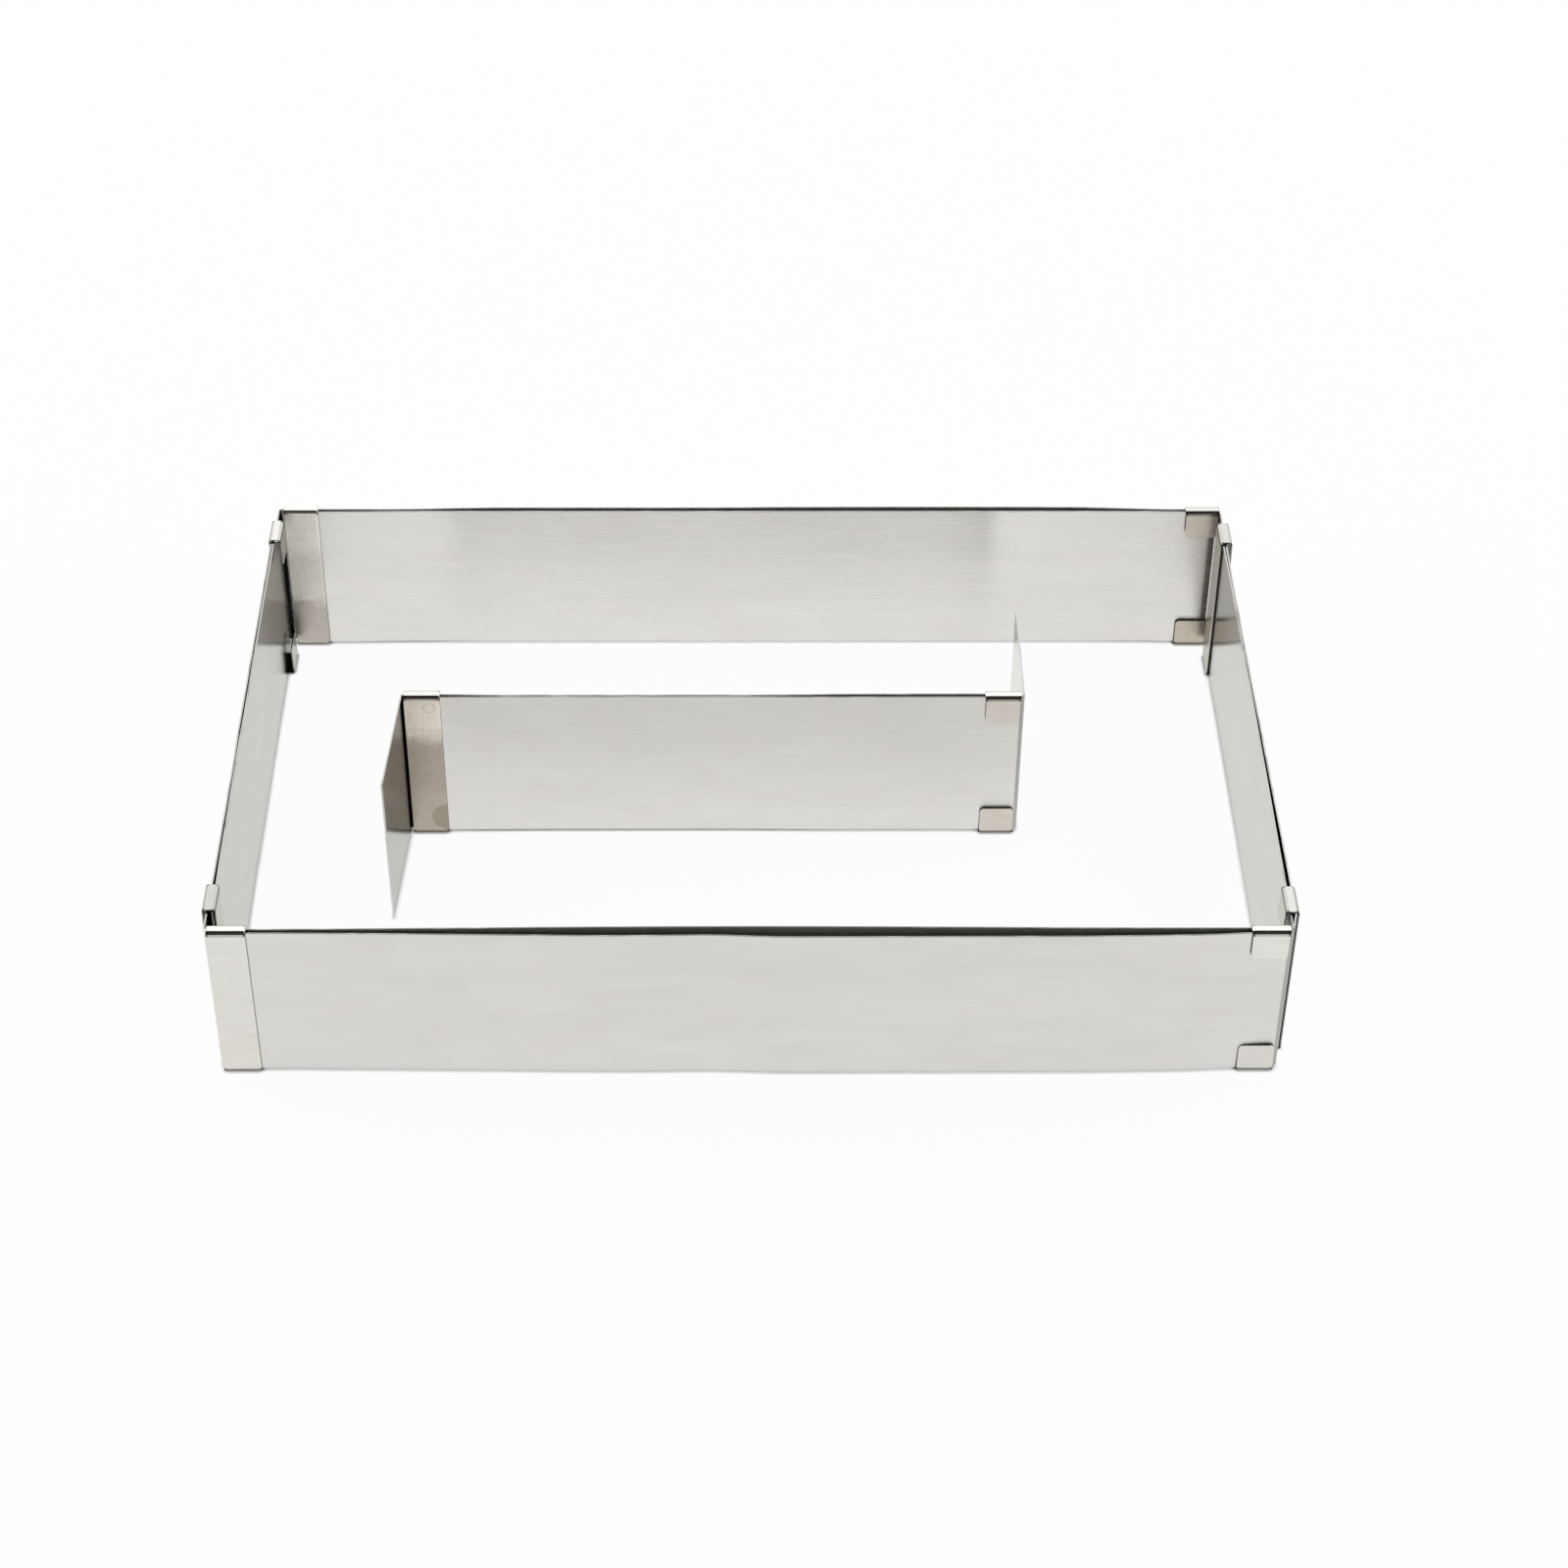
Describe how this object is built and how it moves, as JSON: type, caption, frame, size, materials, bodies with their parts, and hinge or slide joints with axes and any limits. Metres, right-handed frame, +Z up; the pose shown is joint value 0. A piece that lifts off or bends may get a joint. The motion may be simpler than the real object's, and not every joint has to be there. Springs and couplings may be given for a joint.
{
  "type": "adjustable cake frame",
  "caption": "Rectangular stainless baking frame of L-shaped plates that slide past each other in folded clips, with a loose extending divider standing inside",
  "frame": {"origin": "on the table, under the middle of the frame's outer box, with the frame as pictured", "axes": "+X along the long walls to the right as seen in the picture, +Y across the frame away from the camera, +Z up"},
  "size_m": [0.2926, 0.1936, 0.0514],
  "materials": {
    "plate_steel": "bare stainless sheet with a fine lengthwise brushing",
    "clip_steel": "bare stainless strip, slightly heat tinted round its spot welds"
  },
  "bodies": {
    "front_left_body": {"front_left_plate": "plate_steel", "front_wall_right_clip": "clip_steel", "left_wall_back_clip": "clip_steel"},
    "front_right_body": {"front_right_plate": "plate_steel", "front_wall_left_clip": "clip_steel", "right_wall_back_clip": "clip_steel"},
    "back_right_body": {"back_right_plate": "plate_steel", "back_wall_left_clip": "clip_steel", "right_wall_front_clip": "clip_steel"},
    "back_left_body": {"back_left_plate": "plate_steel", "back_wall_right_clip": "clip_steel", "left_wall_front_clip": "clip_steel"},
    "divider_left_body": {"divider_left_plate": "plate_steel", "divider_right_clip": "clip_steel"},
    "divider_right_body": {"divider_right_plate": "plate_steel", "divider_left_clip": "clip_steel"}
  },
  "joints": [
    {"name": "length_slide", "type": "slide", "parent": "front_left_body", "child": "front_right_body", "axis": [1, 0, 0], "range_m": [0, 0.265]},
    {"name": "width_slide", "type": "slide", "parent": "front_left_body", "child": "back_left_body", "axis": [0, 1, 0], "range_m": [-0.004, 0.153]},
    {"name": "width_slide_right", "type": "slide", "parent": "front_right_body", "child": "back_right_body", "axis": [0, 1, 0], "range_m": [-0.004, 0.153]},
    {"name": "divider_lift", "type": "slide", "parent": "front_left_body", "child": "divider_left_body", "axis": [0, 0, 1], "range_m": [0, 0.08]},
    {"name": "divider_slide", "type": "slide", "parent": "divider_left_body", "child": "divider_right_body", "axis": [1, 0, 0], "range_m": [0, 0.06]}
  ],
  "couplings": [
    {"joint": "width_slide_right", "follows": "width_slide", "ratio": 1}
  ]
}
